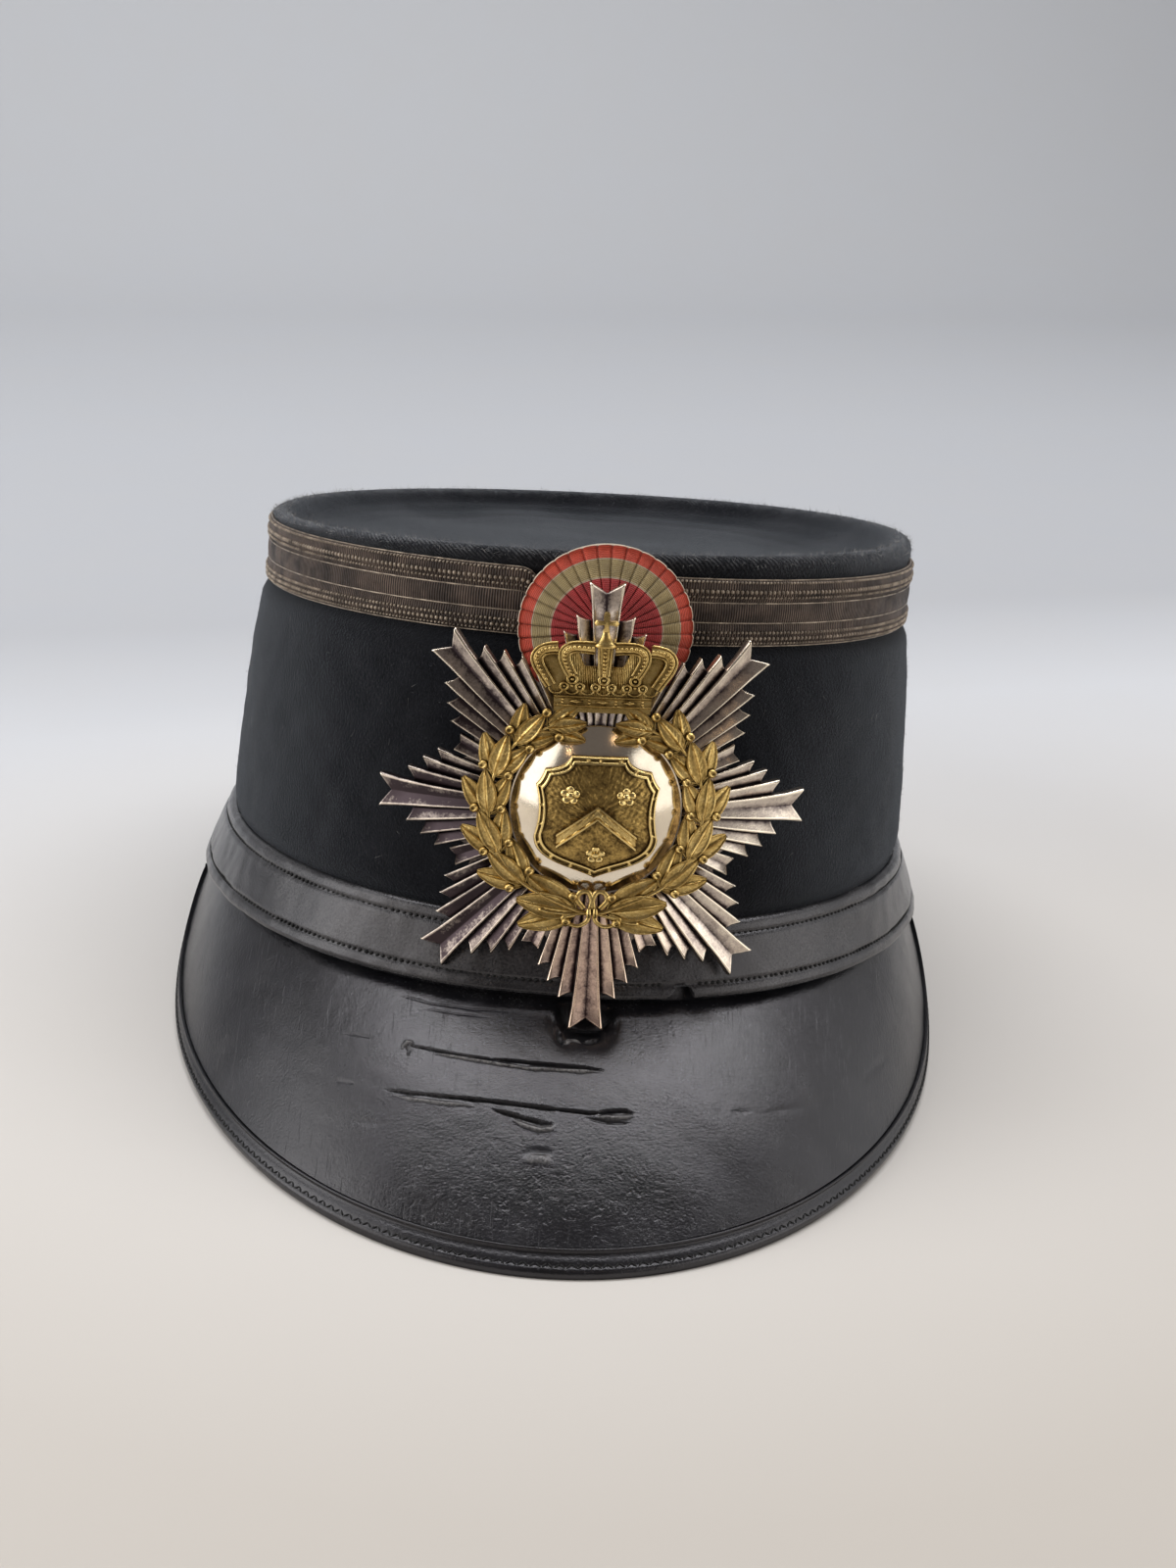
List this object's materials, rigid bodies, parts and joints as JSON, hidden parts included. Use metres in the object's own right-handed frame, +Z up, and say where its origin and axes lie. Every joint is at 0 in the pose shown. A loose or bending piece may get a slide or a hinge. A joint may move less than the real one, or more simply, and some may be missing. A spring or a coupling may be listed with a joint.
{
  "type": "kepi",
  "caption": "Rigid kepi with a cloth crown, sunken top, metal lace, stitched leather band and peak, pleated cockade and a rayed star badge with wreath, crown and plain shield.",
  "frame": {"origin": "middle of the object's box at its lowest level, on the surface that the hat stands on", "axes": "+Z up from the surface, +Y from the peak to the back of the hat, +X to the right as seen from the front"},
  "size_m": [0.1752, 0.2596, 0.1224],
  "materials": {
    "cloth": "napped black wool",
    "lace": "tarnished metal thread",
    "leather": "worn polished black",
    "ribbon": "pleated silk with a gold ring",
    "silver": "tarnished silver plate",
    "gilt": "worn gilt"
  },
  "bodies": {
    "root": {"crown_side": "cloth", "crown_top": "cloth", "lace_band": "lace", "leather_band": "leather", "peak": "leather", "peak_binding": "leather", "cockade": "ribbon", "star_plate": "silver", "boss": "silver", "wreath": "gilt", "shield": "gilt", "crown_ornament": "gilt", "badge_post": "silver"}
  },
  "joints": []
}
